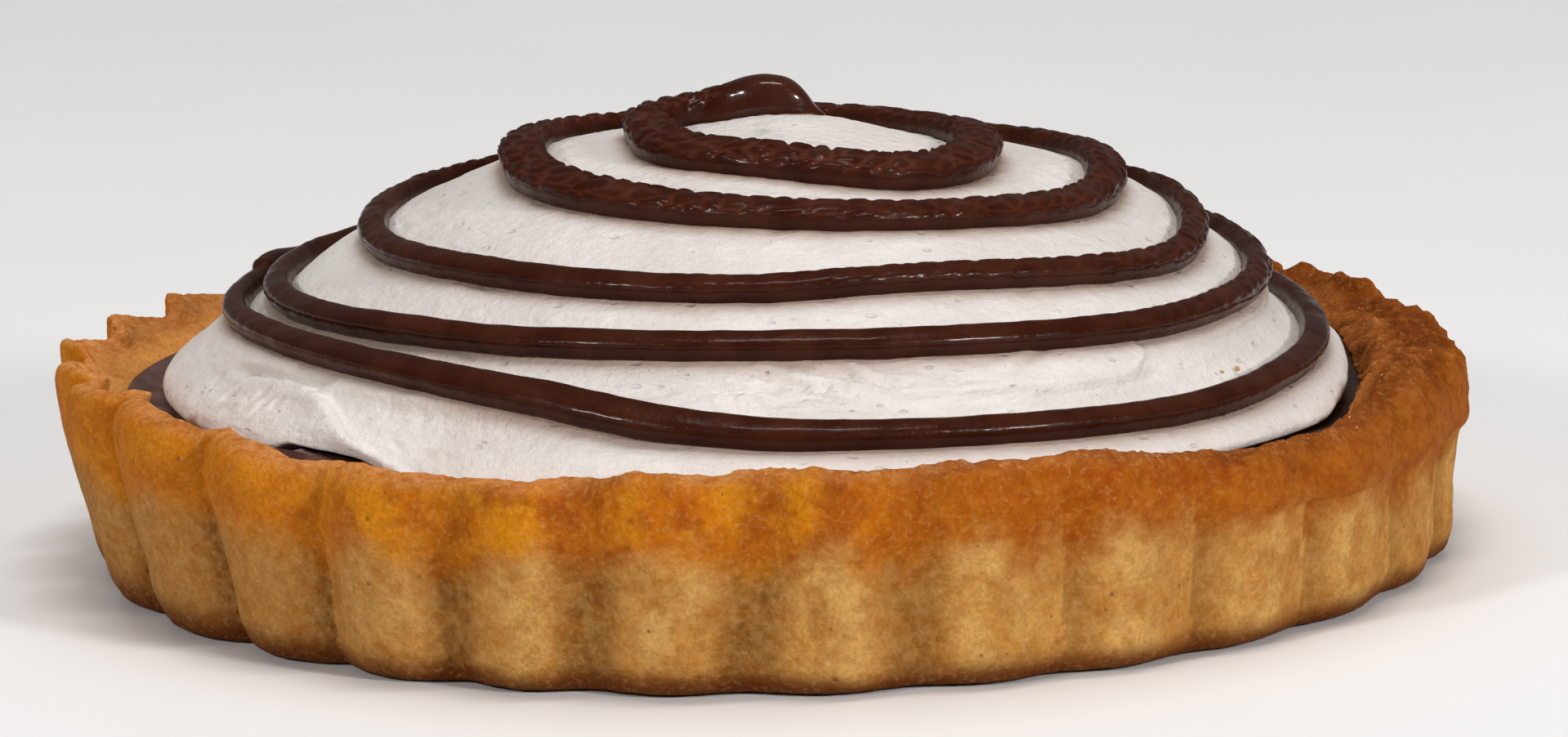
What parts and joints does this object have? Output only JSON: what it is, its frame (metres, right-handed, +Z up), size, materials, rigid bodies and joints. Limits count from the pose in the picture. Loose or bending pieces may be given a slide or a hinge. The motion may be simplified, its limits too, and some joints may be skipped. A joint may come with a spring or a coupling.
{
  "type": "chocolate tart",
  "caption": "Round chocolate cream tart: a fluted pastry case, dark chocolate filling, a dome of cream and a piped chocolate spiral, free-standing.",
  "frame": {"origin": "middle of the flat underside of the pastry case", "axes": "+Z up through the dome; -Y is the front, where the case is seen with its wide flutes; the case's thick side is at +X and the gap that shows the filling is at -X"},
  "size_m": [0.121, 0.1209, 0.0392],
  "materials": {
    "baked_pastry": "baked shortcrust, golden with a browned rim",
    "dark_filling": "set dark chocolate, satin",
    "cream": "whipped cream, smeared with a spatula",
    "glossy_chocolate": "glossy piped chocolate, wrinkled where it was piped slowly"
  },
  "bodies": {
    "root": {"crust": "baked_pastry", "chocolate_filling": "dark_filling", "cream_dome": "cream", "piped_chocolate": "glossy_chocolate"}
  },
  "joints": []
}
